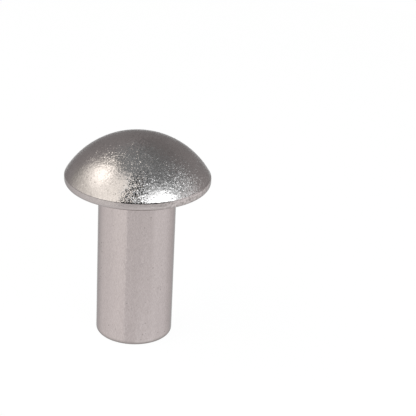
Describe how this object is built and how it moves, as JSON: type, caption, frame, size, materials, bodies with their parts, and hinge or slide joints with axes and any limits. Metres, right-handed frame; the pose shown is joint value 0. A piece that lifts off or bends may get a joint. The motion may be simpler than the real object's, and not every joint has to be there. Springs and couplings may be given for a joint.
{
  "type": "round head solid rivet",
  "caption": "Solid steel rivet with a domed round head on a plain cylindrical shank, for joining plates by upsetting the free end.",
  "frame": {"origin": "centre of the flat free end of the shank, which the rivet stands on", "axes": "+Z along the rivet's axis, from the free end to the crown of the head"},
  "size_m": [0.015, 0.015, 0.022],
  "materials": {
    "bare_steel": "bare cold headed steel, smooth drawn shank, head finely pitted and tumbled"
  },
  "bodies": {
    "root": {"rivet": "bare_steel"}
  },
  "joints": []
}
